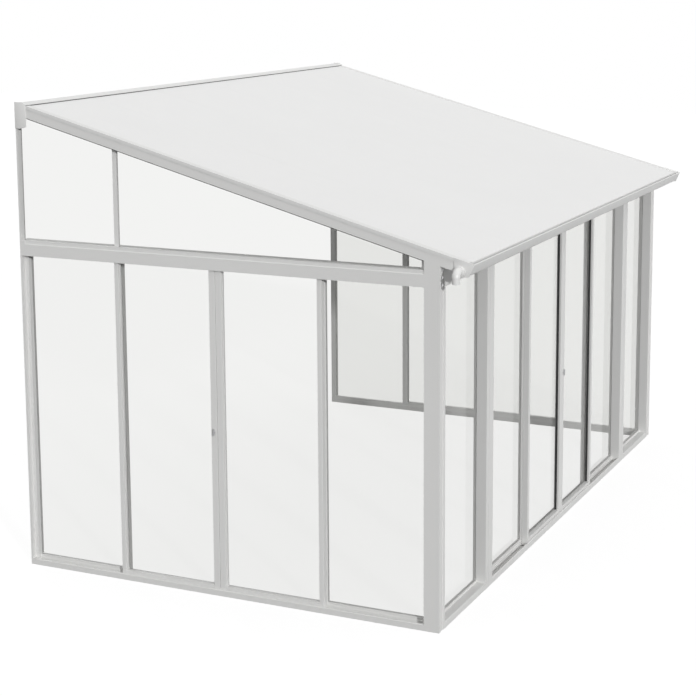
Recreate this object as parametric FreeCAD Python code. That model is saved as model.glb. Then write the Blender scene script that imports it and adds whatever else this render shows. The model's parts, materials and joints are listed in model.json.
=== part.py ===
import FreeCAD, Part
import math
import os

# Lean-to sunroom: two side walls and a front wall with sliding door pairs, under a single-pitch roof.
# Millimetres. While it is modelled, X runs along the front wall from the left wall's outer face,
# Y runs from the front wall's outer face to the house, and Z is up from the floor.
# The last step moves everything so that the origin is under the middle of the overall box.

V = FreeCAD.Vector
UP = V(0, 0, 1)
INWARD = V(0, 1, 0)

# Overall size
width = 4250.0
depth = 2630.0
door_head = 1875.0
eave_rise = 188.0
roof_pitch = 15.0

# Wall build-up from the outside in: track nose, door, rib, fixed glazing, inner lip
nose_depth = 10.0
door_gap = 2.5
door_depth = 34.0
rib_depth = 3.0
fixed_depth = 25.0
lip_depth = 3.0

# Posts
corner_post_length = 90.0
wall_post_length = 35.0
wall_flange_length = 11.0
wall_step_depth = 31.0
front_post_width = 110.0
end_bay = 628.0
post_wall = 5.0
bolt_groove_width = 34.0
bolt_groove_depth = 5.0
face_line_width = 4.0
face_line_depth = 3.0
face_line_offset = 40.0

# Sill and head channels
sill_floor = 8.0
nose_height = 36.0
nose_chamfer = 4.0
rib_height = 34.0
pocket_depth = 60.0
transom_height = 91.0
bead_height = 23.0
bead_step = 4.0
strip_width = 10.0
strip_thickness = 3.2
anchor_hole_radius = 4.0
anchor_hole_offset = 5.5
anchor_hole_inset = 300.0

# Doors
door_width = 652.0
interlock_stile = 27.0
meeting_stile = 38.0
bottom_rail = 68.5
top_rail = 50.0
run_gap = 0.3
head_gap = 5.0
meeting_gap = 2.0
bar_chamfer = 1.5
bar_wall = 3.0

# Interlock flanges between a door and the fixed glazing beside it
flange_thickness = 3.0
flange_reach = 3.5
flange_gap = 1.5
flange_end_gap = 6.0

# Glazing
pane_thickness = 4.0
pane_recess = 27.0
fixed_pane_recess = 9.5
pane_grip = 8.0
groove_depth = 10.0
glazing_gap = 0.3
post_groove_depth = 12.0
seal_thickness = 3.0
seal_depth = 13.0

# Fixed glazing bars
fixed_bottom_rail = 42.0
fixed_top_rail = 50.0
fixed_stile = 34.0
fixed_peek = 4.0

# Latch
latch_height = 955.0
lever_length = 40.0
lever_width = 10.0
lever_thickness = 5.0
lever_standoff = 6.2
hub_radius = 8.0
spindle_radius = 4.0
spindle_square = 5.0
turn_gap = 0.3
hook_thickness = 2.5
hook_width = 14.0
hook_tip = 8.0
stud_radius = 3.0
stud_gap = 1.0
stud_head_radius = 5.0
stud_head_height = 1.5

# Roof
trim_thickness = 3.0
trim_width = 45.0
trim_leg = 16.0
sheet_thickness = 10.0
sheet_count = 6
sheet_joint = 1.0
drip_gap = 19.0
rafter_depth = 55.0
rafter_width = 40.0
rafter_wall = 4.0
rake_overhang = 78.0
rake_web = 55.0
rake_shelf = 20.0

# Ridge
ridge_seat = 60.0
ridge_seat_thickness = 10.0
ridge_pocket = 30.0
ridge_cover = 70.0
ridge_cover_thickness = 6.0
ridge_cap_drop = 56.0
ridge_cap_thickness = 6.0
ridge_cap_chamfer = 22.0
ridge_cap_rise = 11.0
ridge_wall = 6.0
wall_hole_radius = 4.5
wall_hole_spacing = 3200.0

# Gables
gable_pane_depth = 34.0
gable_bar_front = 26.0
gable_bar_back = 44.0
gable_front_bar = 23.0
gable_mullion = 26.0
gable_grip = 6.0
gable_groove = 8.0

# Gutter and outlet
gutter_reach = 190.0
gutter_foot = 161.0
gutter_drop = 46.6
gutter_back_gap = 2.6
gutter_front_height = 68.0
gutter_wall = 2.5
gutter_lip = 11.0
gutter_cap_thickness = 4.0
gutter_cap_cover = 40.0
gutter_cover_thickness = 6.0
outlet_setback = 110.0
outlet_rise = 29.0
elbow_bore = 18.0
bore_step = 1.0
elbow_collar_radius = 30.0
elbow_collar_length = 14.0
elbow_neck_radius = 23.0
elbow_neck_length = 10.0
elbow_bend = 27.0
elbow_mitres = 3
spigot_radius = 21.0
spigot_length = 32.0

# Post bolts
bolt_head_radius = 9.0
bolt_head_height = 4.0
bolt_spacing = 40.0
bolt_top_gap = 25.0
bolt_count = 3

# Depths through a wall, measured from its outer face
door_front = nose_depth + door_gap
door_back = door_front + door_depth
rib_front = door_back + door_gap
fixed_front = rib_front + rib_depth
fixed_back = fixed_front + fixed_depth
wall_depth = fixed_back + lip_depth
door_pane = door_front + pane_recess
fixed_pane = fixed_front + fixed_pane_recess

# Heights
eave_height = door_head + eave_rise
pocket_top = door_head + pocket_depth
transom_top = door_head + transom_height
strip_top = sill_floor + strip_thickness
door_bottom = strip_top + run_gap
door_top = pocket_top - head_gap
reveal_bottom = door_bottom + bottom_rail
reveal_top = door_top - top_rail

# Lengths of the openings between posts
side_opening = depth - corner_post_length - wall_post_length
front_post_start = wall_depth + end_bay
front_opening_start = front_post_start + front_post_width
front_opening = width - 2 * front_opening_start
side_wall_post_face = depth - wall_post_length
wall_flange_face = depth - wall_flange_length

# Roof slope, as heights above the floor
slope = math.tan(math.radians(roof_pitch))
slope_cos = math.cos(math.radians(roof_pitch))
sheet_top_drop = trim_thickness
sheet_drop = sheet_top_drop + sheet_thickness
rafter_drop = sheet_drop + rafter_depth
sheet_overhang = gutter_reach - gutter_lip - drip_gap


def roof_z(y, drop):
    # Height at distance y from the front, at a depth square to the roof below the trims' top
    return eave_height + slope * y - drop / slope_cos


def prism(points, direction, holes=()):
    face = Part.Face(Part.makePolygon(points + [points[0]]))
    for hole in holes:
        face = face.cut(Part.Face(Part.makePolygon(hole + [hole[0]])))
    solid = face.extrude(direction)
    return solid.Solids[0] if solid.Solids else solid


def block(x0, x1, y0, y1, z0, z1):
    return Part.makeBox(abs(x1 - x0), y1 - y0, z1 - z0, V(min(x0, x1), y0, z0))


def slope_block(x0, x1, y0, y1, top_drop, bottom_drop):
    # A bar that follows the roof, with upright ends
    corners = [(y0, top_drop), (y1, top_drop), (y1, bottom_drop), (y0, bottom_drop)]
    points = [V(x0, y, roof_z(y, drop)) for y, drop in corners]
    return prism(points, V(x1 - x0, 0, 0))


def along_x(section, x0, x1, holes=()):
    # Extrude a section of (depth, height) points along the wall
    points = [V(x0, u, z) for u, z in section]
    hole_points = [[V(x0, u, z) for u, z in hole] for hole in holes]
    return prism(points, V(x1 - x0, 0, 0), hole_points)


def upright(section, z0, z1, holes=()):
    # Extrude a plan section of (x, depth) points upwards
    points = [V(x, u, z0) for x, u in section]
    hole_points = [[V(x, u, z0) for x, u in hole] for hole in holes]
    return prism(points, V(0, 0, z1 - z0), hole_points)


def rectangle(a0, a1, b0, b1):
    return [(a0, b0), (a1, b0), (a1, b1), (a0, b1)]


def hex_head(center, radius, height, direction):
    # A hexagon head across the wall, radius being half its width over the flats
    corner = radius / math.cos(math.radians(30))
    angles = [math.radians(60 * number) for number in range(6)]
    points = [center + V(corner * math.cos(a), 0, corner * math.sin(a)) for a in angles]
    return prism(points, direction * height)


# Glazing bars: a hollow bar with chamfered outer edges and a groove for the pane along one edge

def bar_section(pane_side, far_side, front, back, pane):
    toward = math.copysign(1.0, far_side - pane_side)
    groove_end = pane_side + toward * groove_depth
    groove_front = pane - glazing_gap
    groove_back = pane + pane_thickness + glazing_gap
    return [
        (pane_side, back),
        (pane_side, groove_back),
        (groove_end, groove_back),
        (groove_end, groove_front),
        (pane_side, groove_front),
        (pane_side, front + bar_chamfer),
        (pane_side + toward * bar_chamfer, front),
        (far_side - toward * bar_chamfer, front),
        (far_side, front + bar_chamfer),
        (far_side, back),
    ]


def bar_chamber(pane_side, far_side, front, back):
    toward = math.copysign(1.0, far_side - pane_side)
    near = pane_side + toward * (groove_depth + bar_wall)
    far = far_side - toward * bar_wall
    return rectangle(near, far, front + bar_wall, back - bar_wall)


def glazed_stile(pane_side, far_side, front, back, pane, z0, z1):
    section = bar_section(pane_side, far_side, front, back, pane)
    return upright(section, z0, z1, [bar_chamber(pane_side, far_side, front, back)])


def glazed_rail(pane_side, far_side, front, back, pane, x0, x1):
    section = [(u, z) for z, u in bar_section(pane_side, far_side, front, back, pane)]
    chamber = [(u, z) for z, u in bar_chamber(pane_side, far_side, front, back)]
    return along_x(section, x0, x1, [chamber])


# Sill and head profiles, shared by all three walls

def sill(x0, x1):
    section = [
        (0, 0),
        (wall_depth, 0),
        (wall_depth, rib_height),
        (fixed_back, rib_height),
        (fixed_back, sill_floor),
        (fixed_front, sill_floor),
        (fixed_front, rib_height),
        (rib_front, rib_height),
        (rib_front, sill_floor),
        (nose_depth, sill_floor),
        (nose_depth, nose_height),
        (nose_chamfer, nose_height),
        (0, nose_height - nose_chamfer),
    ]
    return along_x(section, x0, x1)


def anchor_hole(x):
    center = V(x, nose_depth + anchor_hole_offset, 0)
    return Part.makeCylinder(anchor_hole_radius, sill_floor, center, UP)


def head_channel(top_points):
    # The channel's underside, closed by the points of the top from the outer face to the inner one
    underside = [
        (wall_depth, door_head),
        (fixed_back, door_head),
        (fixed_back, pocket_top),
        (fixed_front, pocket_top),
        (fixed_front, door_head),
        (rib_front, door_head),
        (rib_front, pocket_top),
        (nose_depth, pocket_top),
        (nose_depth, door_head),
        (0, door_head),
    ]
    return underside + top_points


def transom(x0, x1):
    groove_front = gable_pane_depth - glazing_gap
    groove_back = gable_pane_depth + pane_thickness + glazing_gap
    top = [
        (0, transom_top - bead_height),
        (bead_step, transom_top - bead_height + bead_step),
        (bead_step, transom_top),
        (groove_front, transom_top),
        (groove_front, transom_top - gable_groove),
        (groove_back, transom_top - gable_groove),
        (groove_back, transom_top),
        (wall_depth, transom_top),
    ]
    return along_x(head_channel(top), x0, x1)


def running_strip(x0, x1):
    middle = (door_front + door_back) / 2
    return block(x0, x1, middle - strip_width / 2, middle + strip_width / 2, sill_floor, strip_top)


# One door, in a wall that runs along X from a post at x = 0. The doors meet at x = middle, and side is
# -1 for the left door and 1 for the right one, seen from outside.

def door_reveal(middle, side):
    inner = middle + side * (meeting_gap / 2 + meeting_stile)
    outer = middle + side * (meeting_gap / 2 + door_width - interlock_stile)
    return inner, outer


def latch_axis(middle, side):
    return middle + side * (meeting_gap / 2 + meeting_stile / 2)


def door_frame(middle, side, has_lever):
    meeting_edge = middle + side * meeting_gap / 2
    outer_edge = meeting_edge + side * door_width
    inner, outer = door_reveal(middle, side)
    meeting = glazed_stile(inner, meeting_edge, door_front, door_back, door_pane, door_bottom, door_top)
    interlock = glazed_stile(outer, outer_edge, door_front, door_back, door_pane, door_bottom, door_top)
    flange = block(outer_edge - side * flange_thickness, outer_edge, door_back, door_back + flange_reach,
                   rib_height + flange_end_gap, door_head - flange_end_gap)
    interlock = interlock.fuse(flange).removeSplitter()
    if has_lever:
        bore_start = V(latch_axis(middle, side), door_front, latch_height)
        meeting = meeting.cut(Part.makeCylinder(spindle_radius + turn_gap, door_depth, bore_start, INWARD))
    x0, x1 = min(inner, outer), max(inner, outer)
    bottom = glazed_rail(reveal_bottom, door_bottom, door_front, door_back, door_pane, x0, x1)
    top = glazed_rail(reveal_top, door_top, door_front, door_back, door_pane, x0, x1)
    return [meeting, interlock, bottom, top]


def door_glass(middle, side):
    inner, outer = door_reveal(middle, side)
    x0, x1 = min(inner, outer), max(inner, outer)
    return block(x0 - pane_grip, x1 + pane_grip, door_pane, door_pane + pane_thickness,
                 reveal_bottom - pane_grip, reveal_top + pane_grip)


def door_seal(middle, side):
    # A strip on each stile, in front of the pane
    inner, outer = door_reveal(middle, side)
    back = door_pane - glazing_gap
    front = back - seal_depth
    strips = []
    for edge, toward in ((inner, side), (outer, -side)):
        strips.append(block(edge, edge + toward * seal_thickness, front, back, reveal_bottom, reveal_top))
    return strips


# Latch: lever and spindle on one door, hook plate behind it, ready to swing to the other door's stud

def latch_lever(middle, side):
    axis = latch_axis(middle, side)
    blade_front = door_front - turn_gap - lever_standoff - lever_thickness
    half_straight = (lever_length - lever_width) / 2
    blade = block(axis - lever_width / 2, axis + lever_width / 2, blade_front, blade_front + lever_thickness,
                  latch_height - half_straight, latch_height + half_straight)
    for end in (-half_straight, half_straight):
        tip_center = V(axis, blade_front, latch_height + end)
        blade = blade.fuse(Part.makeCylinder(lever_width / 2, lever_thickness, tip_center, INWARD))
    hub_start = blade_front + lever_thickness
    hub = Part.makeCylinder(hub_radius, lever_standoff, V(axis, hub_start, latch_height), INWARD)
    shaft_length = turn_gap + door_depth + turn_gap
    shaft_start = hub_start + lever_standoff
    shaft = Part.makeCylinder(spindle_radius, shaft_length, V(axis, shaft_start, latch_height), INWARD)
    hook_front = door_back + turn_gap
    half_square = spindle_square / 2
    square = block(axis - half_square, axis + half_square, hook_front, hook_front + hook_thickness,
                   latch_height - half_square, latch_height + half_square)
    return blade.fuse(hub).fuse(shaft).fuse(square).removeSplitter()


def latch_hook(middle, side):
    # At rest the hook hangs down and its notch opens towards the other door
    axis = latch_axis(middle, side)
    reach = meeting_gap + meeting_stile
    front = door_back + turn_gap
    back = front + hook_thickness
    half = hook_width / 2
    notch_radius = stud_radius + stud_gap
    stud_z = latch_height - reach
    plate = block(axis - half, axis + half, front, back, stud_z - hook_tip, latch_height)
    plate = plate.fuse(Part.makeCylinder(half, hook_thickness, V(axis, front, latch_height), INWARD))
    notch = block(axis, axis - side * hook_width, front, back, stud_z - notch_radius, stud_z + notch_radius)
    notch_end = Part.makeCylinder(notch_radius, hook_thickness, V(axis, front, stud_z), INWARD)
    half_square = spindle_square / 2
    square = block(axis - half_square, axis + half_square, front, back,
                   latch_height - half_square, latch_height + half_square)
    return plate.removeSplitter().cut(notch).cut(notch_end).cut(square)


def keeper_stud(middle, side):
    # A headed stud on the back of the other door's meeting stile, with room for the hook under its head
    foot = V(latch_axis(middle, side), door_back, latch_height)
    shank_length = turn_gap + hook_thickness + turn_gap
    shank = Part.makeCylinder(stud_radius, shank_length, foot, INWARD)
    return shank.fuse(hex_head(foot + INWARD * shank_length, stud_head_radius, stud_head_height, INWARD))


# Fixed glazing beside a door: interlock stile, rails and a pane whose far edge sits in the post's groove

def fixed_rails(x0, x1):
    reveal_low = sill_floor + fixed_bottom_rail
    reveal_high = pocket_top - fixed_top_rail
    low = glazed_rail(reveal_low, sill_floor, fixed_front, fixed_back, fixed_pane, x0, x1)
    high = glazed_rail(reveal_high, pocket_top, fixed_front, fixed_back, fixed_pane, x0, x1)
    return [low, high]


def fixed_glass(x0, x1):
    return block(x0, x1, fixed_pane, fixed_pane + pane_thickness,
                 sill_floor + fixed_bottom_rail - pane_grip, pocket_top - fixed_top_rail + pane_grip)


def fixed_stile_edges(middle, side):
    post_edge = middle + side * (meeting_gap / 2 + door_width + fixed_peek)
    return post_edge, post_edge - side * fixed_stile


def fixed_frame(middle, side, post):
    post_edge, meeting_edge = fixed_stile_edges(middle, side)
    stile = glazed_stile(post_edge, meeting_edge, fixed_front, fixed_back, fixed_pane, sill_floor, pocket_top)
    door_end = middle + side * (meeting_gap / 2 + door_width)
    flange_edge = door_end - side * (flange_thickness + flange_gap)
    flange = block(flange_edge - side * flange_thickness, flange_edge,
                   fixed_front - flange_reach, fixed_front,
                   rib_height + flange_end_gap, door_head - flange_end_gap)
    stile = stile.fuse(flange).removeSplitter()
    return [stile] + fixed_rails(min(post_edge, post), max(post_edge, post))


def fixed_side_glass(middle, side, post):
    post_edge = fixed_stile_edges(middle, side)[0]
    near = post_edge - side * pane_grip
    far = post + side * pane_grip
    return fixed_glass(min(near, far), max(near, far))


# Placing a wall that was modelled along X

def on_left(shape):
    placed = shape.copy()
    placed.rotate(V(0, 0, 0), UP, -90)
    placed.translate(V(0, side_wall_post_face, 0))
    return placed


def on_right(shape):
    placed = shape.copy()
    placed.rotate(V(0, 0, 0), UP, 90)
    placed.translate(V(width, corner_post_length, 0))
    return placed


def on_front(shape):
    placed = shape.copy()
    placed.translate(V(front_opening_start, 0, 0))
    return placed


def mirrored(shape):
    # The same piece at the other end of the front wall
    return shape.mirror(V(width / 2, 0, 0), V(1, 0, 0))


# Posts

def pane_groove(x, y, along):
    # A groove in a post's face for the edge of a fixed pane; along is the way into the post
    start = V(x, y, 0)
    end = start + along * post_groove_depth
    half = pane_thickness / 2 + glazing_gap
    across = V(abs(along.y) * half, abs(along.x) * half, 0)
    low = V(min(start.x, end.x), min(start.y, end.y), 0) - across
    high = V(max(start.x, end.x), max(start.y, end.y), 0) + across
    return block(low.x, high.x, low.y, high.y, 0, transom_top)


def corner_post():
    groove0 = (wall_depth - bolt_groove_width) / 2
    groove1 = groove0 + bolt_groove_width
    outline = [
        (0, 0),
        (groove0, 0),
        (groove0, bolt_groove_depth),
        (groove1, bolt_groove_depth),
        (groove1, 0),
        (wall_depth, 0),
        (wall_depth, corner_post_length),
        (0, corner_post_length),
    ]
    chamber_far = fixed_pane - post_wall
    chamber = rectangle(post_wall, chamber_far, bolt_groove_depth + post_wall, chamber_far)
    tall = upright(outline, 0, roof_z(corner_post_length, rafter_drop), [chamber])
    above = slope_block(0, wall_depth, 0, corner_post_length, 0, rafter_drop)
    pane_middle = fixed_pane + pane_thickness / 2
    tall = tall.cut(above)
    tall = tall.cut(pane_groove(wall_depth, pane_middle, V(-1, 0, 0)))
    return tall.cut(pane_groove(pane_middle, corner_post_length, V(0, -1, 0)))


def wall_post():
    # A flange against the house wall, with a jamb beside it that stands back between sill and transom
    face = side_wall_post_face
    post = upright(rectangle(0, wall_depth, face, depth), 0, transom_top)
    post = post.cut(block(wall_step_depth + post_wall, fixed_pane - post_wall, face + post_wall,
                          depth - post_wall, 0, door_head))
    post = post.cut(block(0, wall_step_depth, face, wall_flange_face, nose_height, door_head))
    groove_front = gable_pane_depth - glazing_gap
    groove_back = gable_pane_depth + pane_thickness + glazing_gap
    post = post.cut(block(groove_front, groove_back, face, wall_flange_face,
                          transom_top - gable_groove, transom_top))
    pane_middle = fixed_pane + pane_thickness / 2
    post = post.cut(pane_groove(pane_middle, face, V(0, 1, 0)))
    flange = block(0, gable_bar_back, wall_flange_face, depth, transom_top, ridge_bottom)
    return post.fuse(flange).removeSplitter()


def front_post():
    x0 = front_post_start
    x1 = x0 + front_post_width
    line0 = x0 + face_line_offset
    line1 = line0 + face_line_width
    outline = [
        (x0, 0),
        (line0, 0),
        (line0, face_line_depth),
        (line1, face_line_depth),
        (line1, 0),
        (x1, 0),
        (x1, wall_depth),
        (x0, wall_depth),
    ]
    chamber_wall = post_groove_depth + post_wall
    chamber = rectangle(x0 + chamber_wall, x1 - chamber_wall,
                        face_line_depth + post_wall, wall_depth - post_wall)
    post = upright(outline, 0, door_head, [chamber])
    pane_middle = fixed_pane + pane_thickness / 2
    post = post.cut(pane_groove(x0, pane_middle, V(1, 0, 0)))
    return post.cut(pane_groove(x1, pane_middle, V(-1, 0, 0)))


def post_bolts():
    groove_floor = bolt_groove_depth
    top = roof_z(0, rafter_drop) - bolt_top_gap
    bolts = []
    for x in (wall_depth / 2, width - wall_depth / 2):
        for number in range(bolt_count):
            center = V(x, groove_floor, top - number * bolt_spacing)
            bolts.append(hex_head(center, bolt_head_radius, bolt_head_height, INWARD.negative()))
    return bolts


# Roof

def eave_beam():
    top = [(0, roof_z(0, sheet_drop)), (wall_depth, roof_z(wall_depth, sheet_drop))]
    return along_x(head_channel(top), wall_depth, width - wall_depth)


ridge_back = depth - ridge_pocket
ridge_front = depth - ridge_cover
ridge_face = depth - ridge_seat
ridge_bottom = roof_z(ridge_face, rafter_drop) - ridge_seat_thickness
cover_top_drop = sheet_top_drop - ridge_cover_thickness
cover_level = roof_z(ridge_back, cover_top_drop)
wall_hole_height = (roof_z(ridge_back, rafter_drop) + roof_z(ridge_back, sheet_drop)) / 2


def ridge_plate():
    # A hollow back leg on the house wall, with a seat under the rafters and a cover over the sheets
    section = [
        (depth, ridge_bottom),
        (ridge_face, ridge_bottom),
        (ridge_face, roof_z(ridge_face, rafter_drop)),
        (ridge_back, roof_z(ridge_back, rafter_drop)),
        (ridge_back, roof_z(ridge_back, sheet_top_drop)),
        (ridge_front, roof_z(ridge_front, sheet_top_drop)),
        (ridge_front, roof_z(ridge_front, cover_top_drop)),
        (ridge_back, cover_level),
        (depth, cover_level),
    ]
    chamber = rectangle(ridge_back + ridge_wall, depth - ridge_wall, ridge_bottom + ridge_wall,
                        cover_level - ridge_wall)
    plate = along_x(section, 0, width, [chamber])
    for offset in (-wall_hole_spacing / 2, wall_hole_spacing / 2):
        start = V(width / 2 + offset, ridge_back, wall_hole_height)
        plate = plate.cut(Part.makeCylinder(wall_hole_radius, ridge_pocket, start, INWARD))
    return plate


def ridge_end_cap():
    front = ridge_front - ridge_cap_thickness
    top = cover_level + ridge_cap_thickness
    nose_top = roof_z(front, cover_top_drop) + ridge_cap_thickness
    low = ridge_bottom - ridge_cap_drop
    outline = [
        (depth, low),
        (side_wall_post_face, low),
        (front, low + ridge_cap_rise),
        (front, nose_top),
        (front + ridge_cap_chamfer, top),
        (depth, top),
    ]
    return along_x(outline, -ridge_cap_thickness, 0)


def rake_rafter():
    body = slope_block(0, wall_depth, -rake_overhang, ridge_back, sheet_drop, rafter_drop)
    rebate = slope_block(rake_web, wall_depth, -rake_overhang, ridge_back,
                         sheet_drop + rake_shelf, rafter_drop)
    groove_front = gable_pane_depth - glazing_gap
    groove_back = gable_pane_depth + pane_thickness + glazing_gap
    groove = slope_block(groove_front, groove_back, corner_post_length, ridge_face,
                         rafter_drop - gable_groove, rafter_drop)
    chamber = slope_block(rafter_wall, groove_front - rafter_wall, -rake_overhang, ridge_back,
                          sheet_drop + rafter_wall, rafter_drop - rafter_wall)
    return body.cut(rebate).cut(groove).cut(chamber)


def roof_rafter(x):
    x0 = x - rafter_width / 2
    x1 = x + rafter_width / 2
    bar = slope_block(x0, x1, wall_depth, ridge_back, sheet_drop, rafter_drop)
    chamber = slope_block(x0 + rafter_wall, x1 - rafter_wall, wall_depth, ridge_back,
                          sheet_drop + rafter_wall, rafter_drop - rafter_wall)
    return bar.cut(chamber)


def roof_rafters():
    return [roof_rafter(width * number / sheet_count) for number in range(1, sheet_count)]


def roof_sheets():
    pitch = width / sheet_count
    half_joint = sheet_joint / 2
    sheets = []
    for number in range(sheet_count):
        x0 = number * pitch + half_joint
        x1 = (number + 1) * pitch - half_joint
        sheets.append(slope_block(x0, x1, -sheet_overhang, ridge_back, sheet_top_drop, sheet_drop))
    return sheets


def roof_edge_trim():
    end = ridge_front - ridge_cap_thickness
    flange = slope_block(-trim_thickness, trim_width, -rake_overhang, end, 0, trim_thickness)
    leg = slope_block(-trim_thickness, 0, -rake_overhang, end, 0, trim_thickness + trim_leg)
    return flange.fuse(leg).removeSplitter()


# Gables

def gable_bar(y0, y1):
    outline = [
        (y0, transom_top),
        (y1, transom_top),
        (y1, roof_z(y1, rafter_drop)),
        (y0, roof_z(y0, rafter_drop)),
    ]
    return along_x(outline, gable_bar_front, gable_bar_back)


def gable_pane(y0, y1):
    # The top edge follows the rafter and, at the house end, steps down under the ridge plate
    low = transom_top - gable_grip
    top_drop = rafter_drop - gable_grip
    slope_end = min(y1, ridge_face - glazing_gap)
    under_ridge = ridge_bottom - glazing_gap
    outline = [(y0, low), (y1, low)]
    if y1 > slope_end:
        outline += [(y1, under_ridge), (slope_end, under_ridge)]
    outline += [(slope_end, roof_z(slope_end, top_drop)), (y0, roof_z(y0, top_drop))]
    return along_x(outline, gable_pane_depth, gable_pane_depth + pane_thickness)


gable_start = corner_post_length + gable_front_bar
meeting_line = side_wall_post_face - side_opening / 2
mullion_middle = meeting_line + meeting_gap / 2 + door_width - interlock_stile / 2 + fixed_peek / 2
mullion_start = mullion_middle - gable_mullion / 2
mullion_end = mullion_middle + gable_mullion / 2


def gable_bars():
    return [gable_bar(corner_post_length, gable_start), gable_bar(mullion_start, mullion_end)]


def gable_glass():
    front_pane = gable_pane(gable_start + glazing_gap, mullion_start - glazing_gap)
    rear_pane = gable_pane(mullion_end + glazing_gap, wall_flange_face - glazing_gap)
    return [front_pane, rear_pane]


# Gutter

gutter_bottom = roof_z(0, rafter_drop) - gutter_drop
gutter_back_top = roof_z(-rake_overhang, sheet_drop) - gutter_back_gap


def gutter():
    lip_z = gutter_bottom + gutter_front_height
    lean = (gutter_reach - gutter_foot) / gutter_front_height
    inner_top = -gutter_reach + gutter_wall * math.hypot(1, lean) + lean * gutter_wall
    inner_foot = -gutter_foot + gutter_wall * math.hypot(1, lean) - lean * gutter_wall
    inner_back = -rake_overhang - gutter_wall
    section = [
        (-rake_overhang, gutter_back_top),
        (-rake_overhang, gutter_bottom),
        (-gutter_foot, gutter_bottom),
        (-gutter_reach, lip_z),
        (-gutter_reach + gutter_lip, lip_z),
        (-gutter_reach + gutter_lip, lip_z - gutter_wall),
        (inner_top, lip_z - gutter_wall),
        (inner_foot, gutter_bottom + gutter_wall),
        (inner_back, gutter_bottom + gutter_wall),
        (inner_back, gutter_back_top),
    ]
    return along_x(section, 0, width)


def gutter_end():
    cover_drop = sheet_top_drop - gutter_cover_thickness
    outline = [
        (-rake_overhang, roof_z(-rake_overhang, cover_drop)),
        (-gutter_reach, roof_z(-gutter_reach, cover_drop)),
        (-gutter_foot, gutter_bottom),
        (-rake_overhang, gutter_bottom),
    ]
    plate = along_x(outline, -gutter_cap_thickness, 0)
    cover = slope_block(-gutter_cap_thickness, gutter_cap_cover, -sheet_overhang, -rake_overhang,
                        cover_drop, sheet_top_drop)
    return plate.fuse(cover).removeSplitter()


# Outlet elbow: collar and neck on the cap, a bend of mitred lengths and a spigot for the downpipe.
# The waterway widens to the spigot's bore at a step.

waterway_radius = elbow_bore - bore_step
outlet_center = V(-gutter_cap_thickness, -outlet_setback, gutter_bottom + outlet_rise)
bend_start = outlet_center - V(elbow_collar_length + elbow_neck_length, 0, 0)
bend_center = bend_start - V(0, 0, elbow_bend)
drop_start = bend_center - V(elbow_bend, 0, 0)


def outlet_pipe(radius):
    # A pipe from the cap to the end of the bend
    turn = math.pi / 2 / elbow_mitres
    corner = elbow_bend / math.cos(turn / 2)
    path = [outlet_center]
    for number in range(elbow_mitres):
        angle = turn * (number + 0.5)
        path.append(bend_center + V(-corner * math.sin(angle), 0, corner * math.cos(angle)))
    path.append(drop_start)
    profile = Part.Wire(Part.makeCircle(radius, outlet_center, V(-1, 0, 0)))
    return Part.makePolygon(path).makePipeShell([profile], True, False, 1)


def gutter_elbow():
    collar = Part.makeCylinder(elbow_collar_radius, elbow_collar_length, outlet_center, V(-1, 0, 0))
    spigot = Part.makeCylinder(spigot_radius, spigot_length, drop_start, UP.negative())
    body = outlet_pipe(elbow_neck_radius).fuse(collar).fuse(spigot).removeSplitter()
    bore = Part.makeCylinder(elbow_bore, spigot_length, drop_start, UP.negative())
    return body.cut(outlet_pipe(waterway_radius)).cut(bore)


def outlet_hole():
    return Part.makeCylinder(waterway_radius, gutter_cap_thickness, outlet_center, V(1, 0, 0))


# Assembly: each name is one node, with the solids that belong to it

nodes = {}


def add(name, solids):
    nodes[name] = solids if isinstance(solids, list) else [solids]


def add_side_wall(name, place):
    floor_sill = sill(0, side_opening)
    for x in (anchor_hole_inset, side_opening - anchor_hole_inset):
        floor_sill = floor_sill.cut(anchor_hole(x))
    add("sill_" + name, place(floor_sill))
    add("transom_" + name, place(transom(0, side_opening)))


def add_opening(wall, place, length, door_names, lever_side):
    middle = length / 2
    frames = []
    panes = []
    for side, door in zip((-1, 1), door_names):
        post = 0 if side < 0 else length
        frames += fixed_frame(middle, side, post)
        panes.append(fixed_side_glass(middle, side, post))
        node = "door_" + door
        add(node + "_frame", [place(bar) for bar in door_frame(middle, side, side == lever_side)])
        add(node + "_pane", place(door_glass(middle, side)))
        add(node + "_seal", [place(strip) for strip in door_seal(middle, side)])
    add("fixed_frames_" + wall, [place(bar) for bar in frames])
    add("fixed_panes_" + wall, [place(pane) for pane in panes])
    add("latch_lever_" + wall, place(latch_lever(middle, lever_side)))
    add("latch_hook_" + wall, place(latch_hook(middle, lever_side)))
    add("keeper_" + wall, place(keeper_stud(middle, -lever_side)))
    return place(running_strip(0, length))


add_side_wall("left", on_left)
add_side_wall("right", on_right)
strips = [
    add_opening("left", on_left, side_opening, ("left_rear", "left_front"), -1),
    add_opening("front", on_front, front_opening, ("front_left", "front_right"), 1),
    add_opening("right", on_right, side_opening, ("right_front", "right_rear"), 1),
]
add("running_strips", strips)

end_sill = sill(wall_depth, front_post_start).cut(anchor_hole(wall_depth + anchor_hole_inset))
add("sill_front", [end_sill, sill(front_opening_start, width - front_opening_start), mirrored(end_sill)])
end_rails = fixed_rails(wall_depth, front_post_start)
nodes["fixed_frames_front"] += end_rails + [mirrored(rail) for rail in end_rails]
end_glass = fixed_glass(wall_depth - pane_grip, front_post_start + pane_grip)
nodes["fixed_panes_front"] += [end_glass, mirrored(end_glass)]

for name, piece in (
    ("corner_post", corner_post()),
    ("wall_post", wall_post()),
    ("front_post", front_post()),
    ("rake_rafter", rake_rafter()),
):
    add(name + "_left", piece)
    add(name + "_right", mirrored(piece))

for name, piece in (
    ("ridge_end_caps", ridge_end_cap()),
    ("roof_edge_trims", roof_edge_trim()),
):
    add(name, [piece, mirrored(piece)])

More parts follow.
